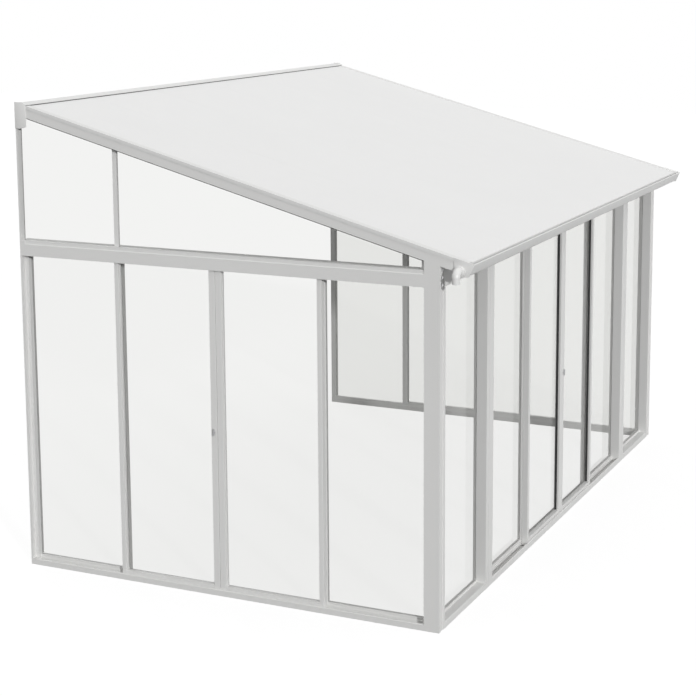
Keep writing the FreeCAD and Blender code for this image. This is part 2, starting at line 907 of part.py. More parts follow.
add("eave_beam", eave_beam())
add("ridge_plate", ridge_plate())
add("roof_rafters", roof_rafters())
add("roof_sheets", roof_sheets())
add("gable_bars", gable_bars() + [mirrored(bar) for bar in gable_bars()])
add("gable_panes", gable_glass() + [mirrored(pane) for pane in gable_glass()])
add("gutter", gutter())
add("gutter_end_left", gutter_end().cut(outlet_hole()))
add("gutter_end_right", mirrored(gutter_end()))
add("gutter_elbow", gutter_elbow())
add("post_screws", post_bolts())

# Origin under the middle of the overall box
everything = Part.makeCompound([solid for solids in nodes.values() for solid in solids])
box = everything.optimalBoundingBox(False, False)
to_origin = V(-(box.XMin + box.XMax) / 2, -(box.YMin + box.YMax) / 2, -box.ZMin)

os.makedirs("parts", exist_ok=True)
for name, solids in nodes.items():
    for solid in solids:
        solid.translate(to_origin)
    shape = solids[0] if len(solids) == 1 else Part.makeCompound(solids)
    shape.exportStep("parts/" + name + ".step")

print(len(nodes), "nodes,", sum(len(solids) for solids in nodes.values()), "solids")
print("moved by", to_origin)
print("size", box.XLength, box.YLength, box.ZLength)
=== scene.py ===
# %% [markdown]
# A white lean-to sunroom, dressed for a studio photograph.
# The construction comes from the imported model: every bar, pane and door is already in place, in metres.
# This lesson adds what the eye and the hand would notice: finishes, moulded parts, fasteners and light.

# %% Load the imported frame
import bmesh
import bpy
import json
import math
from mathutils import Matrix, Vector


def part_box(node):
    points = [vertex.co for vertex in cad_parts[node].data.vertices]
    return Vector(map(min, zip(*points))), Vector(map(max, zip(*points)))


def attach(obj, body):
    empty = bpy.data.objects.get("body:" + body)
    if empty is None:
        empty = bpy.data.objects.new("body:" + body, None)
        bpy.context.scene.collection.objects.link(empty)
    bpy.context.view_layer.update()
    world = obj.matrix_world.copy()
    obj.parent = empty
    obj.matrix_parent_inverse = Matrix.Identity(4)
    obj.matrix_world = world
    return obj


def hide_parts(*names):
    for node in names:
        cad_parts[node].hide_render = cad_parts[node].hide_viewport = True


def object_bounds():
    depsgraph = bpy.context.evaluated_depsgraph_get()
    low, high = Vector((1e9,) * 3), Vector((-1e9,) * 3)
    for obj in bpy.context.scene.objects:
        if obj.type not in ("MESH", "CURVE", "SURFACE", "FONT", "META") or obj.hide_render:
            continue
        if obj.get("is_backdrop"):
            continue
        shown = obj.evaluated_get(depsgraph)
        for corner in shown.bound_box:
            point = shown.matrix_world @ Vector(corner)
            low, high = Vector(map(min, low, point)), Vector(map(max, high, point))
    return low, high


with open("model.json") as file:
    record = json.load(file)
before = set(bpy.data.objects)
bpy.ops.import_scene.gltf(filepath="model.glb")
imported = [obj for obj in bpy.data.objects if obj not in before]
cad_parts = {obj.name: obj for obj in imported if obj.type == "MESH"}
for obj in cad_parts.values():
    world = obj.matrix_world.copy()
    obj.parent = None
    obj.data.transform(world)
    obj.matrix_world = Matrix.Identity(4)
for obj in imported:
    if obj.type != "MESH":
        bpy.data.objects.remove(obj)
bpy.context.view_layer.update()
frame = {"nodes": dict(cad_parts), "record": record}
nodes = frame["nodes"]
record = frame["record"]

# %% [markdown]
# The camera stands outside the left front corner, a little above the eave, and looks slightly down.
# A long lens keeps the walls nearly parallel. Part of the framing is a downward shift of the lens
# instead of more tilt, because a shift doesn't make the posts lean.

# %% Camera
quarter = math.radians(90)
camera_place = (-10.031, -4.414, 3.516)
camera_heading = math.radians(64.92)
camera_tilt = math.radians(-9.07)
camera_roll = math.radians(-0.36)
camera_lens = 87.07
camera_sensor = 36
camera_shift = -0.160

bpy.ops.object.camera_add()
camera = bpy.context.object
camera.data.lens = camera_lens
camera.data.sensor_width = camera_sensor
camera.data.shift_y = camera_shift
camera.matrix_world = (
    Matrix.Translation(camera_place)
    @ Matrix.Rotation(-camera_heading, 4, "Z")
    @ Matrix.Rotation(quarter + camera_tilt, 4, "X")
    @ Matrix.Rotation(camera_roll, 4, "Z")
)
bpy.context.scene.camera = camera
bpy.context.scene.view_settings.view_transform = "Standard"
print("camera at", [round(value, 2) for value in camera.matrix_world.translation])

# %% [markdown]
# Shader graphs read more easily with a few small helpers. One adds a node and sets its sockets by name,
# and one joins an output to an input. The others make what nearly every finish needs: a blend of two
# colours or two shaders, a change of range, a step of arithmetic and a plain grey.

# %% Node helpers
# A Mix node has a set of sockets for each type of data, and all sets have the same names.
# Its colour sockets are therefore taken by their place in the list.
mix_share, mix_first, mix_second, mix_result = 0, 6, 7, 2


def place(tree, kind, settings=None, **sockets):
    made = tree.nodes.new(kind)
    for name, value in (settings or {}).items():
        setattr(made, name, value)
    for name, value in sockets.items():
        made.inputs[name.replace("_", " ")].default_value = value
    return made


def join(tree, source, target):
    tree.links.new(source, target)


def blend_colors(tree, share, first, second):
    mix = place(tree, "ShaderNodeMix", {"data_type": "RGBA"})
    join(tree, share, mix.inputs[mix_share])
    for socket, color in ((mix.inputs[mix_first], first), (mix.inputs[mix_second], second)):
        if isinstance(color, tuple):
            socket.default_value = (*color, 1)
        else:
            join(tree, color, socket)
    return mix.outputs[mix_result]


def blend_shaders(tree, share, first, second):
    mix = place(tree, "ShaderNodeMixShader")
    for socket, source in zip(mix.inputs, (share, first, second)):
        join(tree, source, socket)
    return mix.outputs[0]


def to_range(tree, value, low, high):
    change = place(tree, "ShaderNodeMapRange", To_Min=low, To_Max=high)
    join(tree, value, change.inputs["Value"])
    return change.outputs["Result"]


def arithmetic(tree, operation, first, second):
    step = place(tree, "ShaderNodeMath", {"operation": operation})
    for socket, value in zip(step.inputs, (first, second)):
        if isinstance(value, (int, float)):
            socket.default_value = value
        else:
            join(tree, value, socket)
    return step.outputs[0]


def grey(level):
    return (level, level, level, 1)


print("node helpers ready")

# %% [markdown]
# The studio is a bright dome, strongest overhead and weak along the horizon, like a tent of white cloth.
# The eye sees it as plain white paper, so the background doesn't depend on how much light the object gets.
# Light Path makes that split: one background lights the object, and another one is looked at.

# %% Studio dome
dome_horizon = 0.08
dome_zenith = 0.93


def rays_that_look(tree):
    # 1 for the rays that show the background to the eye: direct, mirrored, or through glass
    rays = place(tree, "ShaderNodeLightPath")
    direct = arithmetic(tree, "MAXIMUM", rays.outputs["Is Camera Ray"], rays.outputs["Is Glossy Ray"])
    return arithmetic(tree, "MAXIMUM", direct, rays.outputs["Is Transmission Ray"])


world = bpy.data.worlds.new("studio")
bpy.context.scene.world = world
world.use_nodes = True
tree = world.node_tree
tree.nodes.clear()
coords = place(tree, "ShaderNodeTexCoord")
height = place(tree, "ShaderNodeSeparateXYZ")
join(tree, coords.outputs["Generated"], height.inputs[0])
dome = place(tree, "ShaderNodeBackground", Color=grey(1))
dome_strength = to_range(tree, height.outputs["Z"], dome_horizon, dome_zenith)
join(tree, dome_strength, dome.inputs["Strength"])
paper_white = place(tree, "ShaderNodeBackground", Color=grey(1), Strength=1.0)
sky = blend_shaders(tree, rays_that_look(tree), dome.outputs[0], paper_white.outputs[0])
join(tree, sky, place(tree, "ShaderNodeOutputWorld").inputs["Surface"])
print("dome", dome_horizon, "to", dome_zenith)

# %% [markdown]
# The floor is a sheet of white paper. To the eye most of its white is its own glow, and the rest is light
# that falls on it, so the sunroom's shadow stays on it as a soft grey.
# To the object it is a pale matt floor that throws some light back up.

# %% Floor
floor_size = 60
paper_glow = 0.90
paper_shade = 0.15
floor_bounce = 0.26

bpy.ops.object.select_all(action="DESELECT")
bpy.ops.mesh.primitive_plane_add(size=floor_size, location=(0, 0, 0))
floor = bpy.context.object
floor.name = "studio_floor"
paper = bpy.data.materials.new("studio_paper")
paper.use_nodes = True
tree = paper.node_tree
tree.nodes.clear()
matt = place(tree, "ShaderNodeBsdfDiffuse", Color=grey(floor_bounce))
shade = place(tree, "ShaderNodeBsdfDiffuse", Color=grey(paper_shade))
glow = place(tree, "ShaderNodeEmission", Color=grey(1), Strength=paper_glow)
seen = place(tree, "ShaderNodeAddShader")
join(tree, glow.outputs[0], seen.inputs[0])
join(tree, shade.outputs[0], seen.inputs[1])
surface = blend_shaders(tree, rays_that_look(tree), matt.outputs[0], seen.outputs[0])
join(tree, surface, place(tree, "ShaderNodeOutputMaterial").inputs["Surface"])
floor.data.materials.append(paper)
floor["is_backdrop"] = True
print("floor", floor_size, "m square")

# %% [markdown]
# A low lamp in front and to the left shapes the bars: it reaches into the door reveals from the left.
# It is a sun, so its beams are parallel, and its size on the sky sets how soft the shadows' edges are.

# %% Key lamp
key_heading = math.radians(49)
key_height = math.radians(17.5)
key_strength = 1.72
key_softness = math.radians(3)


def sun_lamp(name, heading, height, strength, softness):
    bpy.ops.object.light_add(type="SUN")
    lamp = bpy.context.object
    lamp.name = name
    lamp.data.energy = strength
    lamp.data.angle = softness
    beam = Vector((
        math.cos(heading) * math.cos(height),
        math.sin(heading) * math.cos(height),
        -math.sin(height),
    ))
    lamp.rotation_mode = "QUATERNION"
    lamp.rotation_quaternion = beam.to_track_quat("-Z", "Y")
    print(name, "shines along", [round(value, 2) for value in beam])


sun_lamp("key_lamp", key_heading, key_height, key_strength, key_softness)

# %% [markdown]
# White bars turn grey on the sides that no lamp reaches. A fill from the opposite side, softer and
# weaker than the key, lights the right wall and the back as well. It stands lower than the roof's slope,
# so the roof, which the dome lights well enough, gets nothing more from it.

# %% Fill lamp
fill_heading = key_heading + math.radians(180)
fill_height = math.radians(8)
fill_strength = 1.3
fill_softness = math.radians(10)

sun_lamp("fill_lamp", fill_heading, fill_height, fill_strength, fill_softness)

# %% [markdown]
# Several finishes share two effects, so each effect is a node group, built once.
# The first is the skin of a coating or a moulding: a fine grain like orange peel, a broad drift of tone,
# and patches that are a little more or less polished. Each finish chooses its own grain scale.

# %% Group: skin grain
def new_group(name, inputs, outputs):
    group = bpy.data.node_groups.new(name, "ShaderNodeTree")
    for title, value in inputs:
        socket = group.interface.new_socket(name=title, in_out="INPUT", socket_type="NodeSocketFloat")
        socket.default_value = value
    for title in outputs:
        group.interface.new_socket(name=title, in_out="OUTPUT", socket_type="NodeSocketFloat")
    return group, place(group, "NodeGroupInput"), place(group, "NodeGroupOutput")


skin_grain, entry, leave = new_group(
    "skin_grain", [("Grain Scale", 600.0)], ["Grain", "Drift", "Polish"])
coords = place(skin_grain, "ShaderNodeTexCoord")
grain = place(skin_grain, "ShaderNodeTexNoise", Detail=2.0, Roughness=0.5)
drift = place(skin_grain, "ShaderNodeTexNoise", Scale=1.7, Detail=3.0, Roughness=0.55)
polish = place(skin_grain, "ShaderNodeTexNoise", Scale=14.0, Detail=4.0, Roughness=0.6)
join(skin_grain, entry.outputs["Grain Scale"], grain.inputs["Scale"])
for texture, title in ((grain, "Grain"), (drift, "Drift"), (polish, "Polish")):
    join(skin_grain, coords.outputs["Object"], texture.inputs["Vector"])
    join(skin_grain, texture.outputs["Fac"], leave.inputs[title])
print(skin_grain.name, "with", len(skin_grain.nodes), "nodes")

# %% [markdown]
# The second effect is the thin film that rain leaves on anything outdoors: a little splashed dust low
# down, fading with height, and faint runs where water has drained. It only gives a mask, and each finish
# decides how strongly it shows. On a new sunroom that is hardly at all.

# %% Group: rain film
rain_film, entry, leave = new_group("rain_film", [("Splash Height", 0.22)], ["Film"])
coords = place(rain_film, "ShaderNodeTexCoord")
height = place(rain_film, "ShaderNodeSeparateXYZ")
join(rain_film, coords.outputs["Object"], height.inputs[0])
splash = place(rain_film, "ShaderNodeMapRange", To_Min=1.0, To_Max=0.0)
join(rain_film, height.outputs["Z"], splash.inputs["Value"])
join(rain_film, entry.outputs["Splash Height"], splash.inputs["From Max"])
specks = place(rain_film, "ShaderNodeTexNoise", Scale=55.0, Detail=5.0, Roughness=0.7)
join(rain_film, coords.outputs["Object"], specks.inputs["Vector"])
stretch = place(rain_film, "ShaderNodeMapping", Scale=(26.0, 26.0, 1.4))
join(rain_film, coords.outputs["Object"], stretch.inputs["Vector"])
runs = place(rain_film, "ShaderNodeTexNoise", Scale=1.0, Detail=3.0, Roughness=0.5)
join(rain_film, stretch.outputs["Vector"], runs.inputs["Vector"])
run_lines = place(rain_film, "ShaderNodeMapRange",
                  From_Min=0.58, From_Max=0.80, To_Min=0.0, To_Max=0.35)
join(rain_film, runs.outputs["Fac"], run_lines.inputs["Value"])
low_dust = arithmetic(rain_film, "MULTIPLY", splash.outputs["Result"], specks.outputs["Fac"])
all_film = arithmetic(rain_film, "ADD", low_dust, run_lines.outputs["Result"])
join(rain_film, all_film, leave.inputs["Film"])
print(rain_film.name, "with", len(rain_film.nodes), "nodes")

# %% [markdown]
# The frame is extruded aluminium with a satin white powder coat. Up close such a coat isn't flat:
# it has a shallow orange peel about 1.5 mm across, its gloss wanders, and its white drifts by a percent
# or two. The same recipe, with other colours and scales, also gives moulded plastic, nylon, rubber and
# lacquer, so it is a function that each finish calls with its own values.

# %% Finish recipe for coats and mouldings
finishes = {}
dust_tone = (0.56, 0.54, 0.50)
coat_bump = 0.35


def new_finish(slot):
    # A material under its slot's name, returned as its node tree and its main shader
    finish = bpy.data.materials.new(slot)
    finish.use_nodes = True
    finishes[slot] = finish
    return finish.node_tree, finish.node_tree.nodes["Principled BSDF"]


def add_bump(tree, shader, height, strength, depth):
    bump = place(tree, "ShaderNodeBump", Strength=strength, Distance=depth)
    join(tree, height, bump.inputs["Height"])
    join(tree, bump.outputs["Normal"], shader.inputs["Normal"])


def coat(slot, light, dark, gloss, rough, grain_scale, grain_depth, dust):
    tree, shader = new_finish(slot)
    skin = place(tree, "ShaderNodeGroup", {"node_tree": skin_grain}, Grain_Scale=grain_scale)
    film = place(tree, "ShaderNodeGroup", {"node_tree": rain_film})
    tone = blend_colors(tree, skin.outputs["Drift"], dark, light)
    film_share = arithmetic(tree, "MULTIPLY", film.outputs["Film"], dust)
    join(tree, blend_colors(tree, film_share, tone, dust_tone), shader.inputs["Base Color"])
    clean = to_range(tree, skin.outputs["Polish"], gloss, rough)
    join(tree, arithmetic(tree, "ADD", clean, film_share), shader.inputs["Roughness"])
    add_bump(tree, shader, skin.outputs["Grain"], coat_bump, grain_depth)


print("coat recipe ready")

# %% Coats and mouldings
coat("frame_white", light=(0.82, 0.82, 0.81), dark=(0.78, 0.78, 0.77),
     gloss=0.36, rough=0.50, grain_scale=650, grain_depth=0.0003, dust=0.10)
coat("cap_white", light=(0.84, 0.84, 0.83), dark=(0.81, 0.81, 0.80),
     gloss=0.28, rough=0.40, grain_scale=1400, grain_depth=0.0002, dust=0.08)
coat("nylon", light=(0.78, 0.78, 0.75), dark=(0.72, 0.72, 0.69),
     gloss=0.40, rough=0.55, grain_scale=900, grain_depth=0.0002, dust=0.20)
coat("lever_grey", light=(0.52, 0.52, 0.53), dark=(0.46, 0.46, 0.47),
     gloss=0.25, rough=0.38, grain_scale=800, grain_depth=0.0002, dust=0.05)
coat("seal_black", light=(0.030, 0.030, 0.031), dark=(0.018, 0.018, 0.019),
     gloss=0.50, rough=0.70, grain_scale=500, grain_depth=0.0004, dust=0.06)
coat("seal_white", light=(0.78, 0.78, 0.77), dark=(0.73, 0.73, 0.72),
     gloss=0.50, rough=0.68, grain_scale=500, grain_depth=0.0004, dust=0.06)
print("coats", sorted(finishes))

# %% [markdown]
# The roof is opal white multiwall sheet. Inside it, walls run down the slope two centimetres apart,
# and against the light they show as the faintest ribs. A wave pattern that varies across the slope makes
# them, in the colour by about one percent and in the bump by a few hundredths of a millimetre.

# %% Roof sheet finish
rib_spacing = 0.020
wave_length = math.pi / 10  # of the wave texture at scale 1
rib_share = 0.04
rib_tone = (0.72, 0.72, 0.71)
sheet_dark, sheet_light = (0.86, 0.86, 0.855), (0.89, 0.89, 0.885)
sheet_gloss, sheet_rough = 0.34, 0.50
rib_bump, rib_depth = 0.2, 0.0002

tree, shader = new_finish("roof_white")
coords = place(tree, "ShaderNodeTexCoord")
ribs = place(tree, "ShaderNodeTexWave", {"bands_direction": "X"},
             Scale=wave_length / rib_spacing, Distortion=0.0)
join(tree, coords.outputs["Object"], ribs.inputs["Vector"])
skin = place(tree, "ShaderNodeGroup", {"node_tree": skin_grain}, Grain_Scale=300.0)
tone = blend_colors(tree, skin.outputs["Drift"], sheet_dark, sheet_light)
faint_ribs = arithmetic(tree, "MULTIPLY", ribs.outputs["Fac"], rib_share)
join(tree, blend_colors(tree, faint_ribs, tone, rib_tone), shader.inputs["Base Color"])
join(tree, to_range(tree, skin.outputs["Polish"], sheet_gloss, sheet_rough), shader.inputs["Roughness"])
add_bump(tree, shader, ribs.outputs["Fac"], rib_bump, rib_depth)
print("roof ribs every", rib_spacing * 1000, "mm")

# %% [markdown]
# The bolts, hooks and keepers are zinc-plated steel: a grey metal whose plating has a fine brushed grain
# and slightly duller patches. The grain is a noise pattern stretched along one direction.

# %% Zinc-plated steel
zinc_metal = 0.9
zinc_dull, zinc_bright = (0.56, 0.56, 0.57), (0.70, 0.70, 0.71)
zinc_gloss, zinc_rough = 0.26, 0.46
brush_bump, brush_depth = 0.3, 0.0001

tree, shader = new_finish("steel")
shader.inputs["Metallic"].default_value = zinc_metal
coords = place(tree, "ShaderNodeTexCoord")
stretch = place(tree, "ShaderNodeMapping", Scale=(900.0, 900.0, 60.0))
join(tree, coords.outputs["Object"], stretch.inputs["Vector"])
brush = place(tree, "ShaderNodeTexNoise", Scale=1.0, Detail=3.0)
join(tree, stretch.outputs["Vector"], brush.inputs["Vector"])
skin = place(tree, "ShaderNodeGroup", {"node_tree": skin_grain}, Grain_Scale=1200.0)
tone = blend_colors(tree, skin.outputs["Polish"], zinc_dull, zinc_bright)
join(tree, tone, shader.inputs["Base Color"])
join(tree, to_range(tree, brush.outputs["Fac"], zinc_gloss, zinc_rough), shader.inputs["Roughness"])
add_bump(tree, shader, brush.outputs["Fac"], brush_bump, brush_depth)
print("steel grain stretched along Z")

# %% [markdown]
# The panes are clear 4 mm sheets with a slight grey cast and hardly visible smudges in their gloss.
# To the eye they are glass with a low index, which keeps reflections faint. Light that only passes
# through on its way to a surface takes a plain dimmed path instead, which is quicker and keeps the room
# behind the panes as dim as a roofed room is.

# %% Pane finish
pane_tint = (0.868, 0.870, 0.860)
pane_index = 1.12
pane_smudge = 0.012
pane_dimming = 0.76

tree, shader = new_finish("glazing")
shader.inputs["Base Color"].default_value = (*pane_tint, 1)
shader.inputs["Transmission Weight"].default_value = 1.0
shader.inputs["IOR"].default_value = pane_index
skin = place(tree, "ShaderNodeGroup", {"node_tree": skin_grain}, Grain_Scale=40.0)
join(tree, to_range(tree, skin.outputs["Polish"], 0.0, pane_smudge), shader.inputs["Roughness"])
dimmed = place(tree, "ShaderNodeBsdfTransparent", Color=grey(pane_dimming))
rays = place(tree, "ShaderNodeLightPath")
passing = arithmetic(tree, "MAXIMUM", rays.outputs["Is Shadow Ray"], rays.outputs["Is Diffuse Ray"])
surface = blend_shaders(tree, passing, shader.outputs[0], dimmed.outputs[0])
join(tree, surface, tree.nodes["Material Output"].inputs["Surface"])
print("pane tint", pane_tint, "dimming", pane_dimming)

# %% [markdown]
# The record says which finish each piece of the construction has, so dressing them is one loop.

# %% Dress the construction
slot_of = {row["node"]: row["material_slot"] for row in record["subparts"]}
for name, node in nodes.items():
    node.data.materials.clear()
    node.data.materials.append(finishes[slot_of[name]])
print("dressed", len(nodes), "nodes in", len(set(slot_of.values())), "finishes")

# %% [markdown]
# Modelling by hand means choosing vertices, edges or faces and then using a tool on them.
# In a script the choosing is done by place: a test looks at where each element lies.
# The first helpers start a mesh with nothing else selected, choose by a test, and pull and widen.
# The others copy, merge and finish a piece, and hand it to the body that it moves with.

# %% Modelling helpers: start, choose and shape
def settle():
    # Puts the selected pieces' place and turn into their meshes
    bpy.ops.object.transform_apply(location=True, rotation=True, scale=True)


def start_mesh(name, add, **options):
    bpy.ops.object.select_all(action="DESELECT")
    add(**options)
    made = bpy.context.object
    made.name = name
    settle()
    bpy.ops.object.mode_set(mode="EDIT")
    bpy.ops.mesh.select_all(action="SELECT")
    return made


def disc(name, sides, radius, location, rotation):
    return start_mesh(name, bpy.ops.mesh.primitive_circle_add, vertices=sides, radius=radius,
                      fill_type="NGON", location=location, rotation=rotation)


def choose(made, kind, test):
    bpy.ops.mesh.select_mode(type=kind)
    bpy.ops.mesh.select_all(action="DESELECT")
    shape = bmesh.from_edit_mesh(made.data)
    chosen = 0
    for element in {"VERT": shape.verts, "EDGE": shape.edges, "FACE": shape.faces}[kind]:
        if test(element):
            element.select_set(True)
            chosen += 1
    shape.select_flush_mode()
    bmesh.update_edit_mesh(made.data)
    return chosen


def middle(element):
    points = [vert.co for vert in element.verts]
    return sum(points, Vector()) / len(points)


def pull(offset):
    bpy.ops.mesh.extrude_region_move(TRANSFORM_OT_translate={"value": offset})


def widen(factor, center, across):
    value = tuple(factor if moves else 1 for moves in across)
    bpy.ops.transform.resize(value=value, center_override=center)


print("shaping helpers ready")

# %% Modelling helpers: copy, merge and finish
hair = 0.00001
flat_angle = math.radians(1)
crisp_smoothing = math.radians(30)
round_smoothing = math.radians(40)


def only(*pieces):
    # Selects these pieces alone, the first one as the active piece
    bpy.ops.object.select_all(action="DESELECT")
    for piece in pieces:
        piece.select_set(True)
    bpy.context.view_layer.objects.active = pieces[0]


def twin(master):
    # A copy with a mesh of its own
    copy = master.copy()
    copy.data = master.data.copy()
    bpy.context.collection.objects.link(copy)
    return copy


def merge_points():
    bpy.ops.mesh.select_all(action="SELECT")
    bpy.ops.mesh.remove_doubles(threshold=hair)


def close_mesh(made, smooth_angle):
    merge_points()
    bpy.ops.mesh.normals_make_consistent(inside=False)
    bpy.ops.object.mode_set(mode="OBJECT")
    bpy.ops.object.shade_smooth_by_angle(angle=smooth_angle)
    made.data.materials.clear()


def copy_of(node, name):
    # A copy of a construction mesh, its triangles merged back to whole faces, left in edit mode.
    # The stored normals belong to the loose triangles, and on merged faces they would shade wrongly
    copy = bpy.data.objects.new(name, nodes[node].data.copy())
    bpy.context.collection.objects.link(copy)
    only(copy)
    bpy.ops.mesh.customdata_custom_splitnormals_clear()
    bpy.ops.object.mode_set(mode="EDIT")
    merge_points()
    bpy.ops.mesh.dissolve_limited(angle_limit=flat_angle)
    return copy


def hand_over(made, body, slot, *replaced):
    made.data.materials.append(finishes[slot])
    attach(made, body)
    if replaced:
        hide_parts(*replaced)
    print(made.name, len(made.data.polygons), "faces, rides", body)


print("finishing helpers ready")

# %% [markdown]
# The gutter empties through a moulded elbow at its left end: a collar against the end cap, a smooth
# quarter bend and a spigot for the downpipe. A pipe could be a curve with a bevel, but then its steps and
# its wall would be missing. Here one ring is pulled along the outside, turned down with the spin tool,
# folded back at the rim and pulled up the inside, so the elbow is a closed moulding with a real wall.

# %% Gutter elbow: sizes
cap_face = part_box("gutter_end_left")[0].x
mounts = {mount["name"]: mount for mount in record["mounts"]}
spigot = mounts["downpipe_spigot"]
spigot_center = Vector(spigot["pos_m"])
spigot_radius = spigot["dims"]["r_mm"] / 1000
spigot_length = spigot["dims"]["length_mm"] / 1000
bore_radius = mounts["outlet_bore"]["dims"]["r_mm"] / 1000
bore_step = 0.001
waterway_radius = bore_radius - bore_step
elbow_low, elbow_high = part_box("gutter_elbow")
collar_radius = (elbow_high.y - elbow_low.y) / 2
collar_length = 0.014
collar_rounding = 0.003
rounding_step = 0.3 * collar_rounding
shoulder_radius = collar_radius - rounding_step
face_radius = collar_radius - collar_rounding
rim_rounding = 0.0015
rim_radius = spigot_radius - rim_rounding
pipe_radius = spigot_center.x - elbow_low.x
bend_radius = 0.027
drop_top = spigot_center.z + spigot_length / 2
bend_center = Vector((spigot_center.x + bend_radius, spigot_center.y, drop_top))
pipe_height = drop_top + bend_radius
neck_length = cap_face - collar_length - bend_center.x
print("collar", round(collar_radius * 1000), "pipe", round(pipe_radius * 1000),
      "neck", round(neck_length * 1000))

# %% Gutter elbow: pull, spin and fold
upright_ring = (False, True, True)
level_ring = (True, True, False)
in_place = (0, 0, 0)
pipe_sides = 40
bend_steps = 10
on_pipe = Vector((0, spigot_center.y, pipe_height))

elbow = start_mesh("gutter_elbow_moulding", bpy.ops.mesh.primitive_circle_add, vertices=pipe_sides,
                   radius=collar_radius, location=(cap_face, spigot_center.y, pipe_height),
                   rotation=(0, quarter, 0))
pull((collar_rounding - collar_length, 0, 0))
pull((rounding_step - collar_rounding, 0, 0))
widen(shoulder_radius / collar_radius, on_pipe, upright_ring)
pull((-rounding_step, 0, 0))
widen(face_radius / shoulder_radius, on_pipe, upright_ring)
pull(in_place)
widen(pipe_radius / face_radius, on_pipe, upright_ring)
pull((-neck_length, 0, 0))
bpy.ops.mesh.spin(steps=bend_steps, angle=quarter, center=bend_center, axis=(0, 1, 0))
pull(in_place)
widen(spigot_radius / pipe_radius, spigot_center, level_ring)
pull((0, 0, rim_rounding - spigot_length))
pull((0, 0, -rim_rounding))
widen(rim_radius / spigot_radius, spigot_center, level_ring)
pull(in_place)
widen(bore_radius / rim_radius, spigot_center, level_ring)
pull((0, 0, spigot_length))
widen(waterway_radius / bore_radius, spigot_center, level_ring)
bpy.ops.mesh.spin(steps=bend_steps, angle=-quarter, center=bend_center, axis=(0, 1, 0))
pull((collar_length + neck_length, 0, 0))
choose(elbow, "EDGE", lambda edge: edge.is_boundary)
bpy.ops.mesh.bridge_edge_loops()
close_mesh(elbow, round_smoothing)
hand_over(elbow, "frame", "cap_white", "gutter_elbow")

# %% [markdown]
# Each pair of doors has a small turn lever. The real one is cast: a bar with round ends, softened edges
# and a shallow dish for the finger, on a hub whose spindle goes through the stile to the hook.
# It starts as a disc that is parted in two halves to become the bar. A second disc, pulled out step by
# step, gives the hub and the spindle. One lever is modelled at the origin and copied to each wall.

# %% Latch lever: sizes
lever_low, lever_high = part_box("latch_lever_front")
lever_width = 0.010
lever_half_length = (lever_high.z - lever_low.z) / 2
blade_thickness = 0.005
hub_length = 0.0062
hub_radius = 0.008
hub_chamfer = 0.001
hub_sink = 0.0005
spindle_radius = 0.004
tip_radius = 0.0025
tip_length = 0.0025
spindle_length = lever_high.y - lever_low.y - blade_thickness - hub_length - tip_length
edge_softness = 0.0014
dish_margin = 0.0012
dish_slope = 0.0008
dish_depth = 0.0006
print("lever", round(lever_half_length * 2000), "mm long,",
      "spindle", round(spindle_length * 1000, 1), "mm")

# %% Latch lever: shape
lever_sides = 48
soft_segments = 3
lever = disc("latch_lever_master", lever_sides, lever_width / 2,
             (0, blade_thickness, 0), (quarter, 0, 0))
reach = lever_half_length - lever_width / 2
for side in (-1, 1):
    choose(lever, "VERT", lambda vert: vert.co.z * side > hair)
    bpy.ops.transform.translate(value=(0, 0, side * reach))
bpy.ops.mesh.select_mode(type="FACE")
bpy.ops.mesh.select_all(action="SELECT")
pull((0, -blade_thickness, 0))
choose(lever, "EDGE", lambda edge: all(abs(vert.co.y) < hair for vert in edge.verts))
bpy.ops.mesh.bevel(offset=edge_softness, segments=soft_segments, affect="EDGES")
choose(lever, "FACE", lambda face: len(face.verts) == lever_sides and abs(middle(face).y) < hair)
bpy.ops.mesh.inset(thickness=dish_margin)
pull(in_place)
bpy.ops.mesh.inset(thickness=dish_slope)
bpy.ops.transform.translate(value=(0, dish_depth, 0))
close_mesh(lever, round_smoothing)
print(lever.name, len(lever.data.polygons), "faces")

# %% Latch lever: hub and spindle
hub_sides = 32
origin = Vector((0, 0, 0))
flat_ring = (True, False, True)
hub = disc("latch_hub_master", hub_sides, hub_radius,
           (0, blade_thickness - hub_sink, 0), (-quarter, 0, 0))
pull((0, hub_sink + hub_length - hub_chamfer, 0))
pull((0, hub_chamfer, 0))
widen(1 - hub_chamfer / hub_radius, origin, flat_ring)
bpy.ops.mesh.inset(thickness=hub_radius - hub_chamfer - spindle_radius)
pull((0, spindle_length, 0))
bpy.ops.mesh.inset(thickness=spindle_radius - tip_radius)
pull((0, tip_length, 0))
close_mesh(hub, round_smoothing)
only(lever, hub)
bpy.ops.object.join()
print(lever.name, "joined,", len(lever.data.polygons), "faces")

# %% Latch lever: one on each wall
hinges = {joint["name"]: joint for joint in record["behaviour"]["joints"]}
for wall, turn in (("left", -quarter), ("front", 0.0), ("right", quarter)):
    low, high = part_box("latch_lever_" + wall)
    axis_point = Vector(hinges["latch_" + wall + "_turn"]["pos_m"])
    outer = {
        "left": (low.x, axis_point.y),
        "front": (axis_point.x, low.y),
        "right": (high.x, axis_point.y),
    }
    copy = twin(lever)
    copy.name = "latch_lever_cast_" + wall
    copy.rotation_euler = (0, 0, turn)
    copy.location = (*outer[wall], axis_point.z)
    only(copy)
    settle()
    hand_over(copy, "latch_" + wall, "lever_grey", "latch_lever_" + wall)
bpy.data.objects.remove(lever)

# %% [markdown]
# Three bolts sit in the groove of each corner post, near the top. A real bolt head has a chamfered
# hexagon on a round flange. A disc pulled out in two steps, the second one narrower, gives the flange.
# A disc with only six sides, pulled out, chamfered and slightly dished, gives the hexagon on it.
# One bolt is modelled, and six copies take the places that the construction gives them.

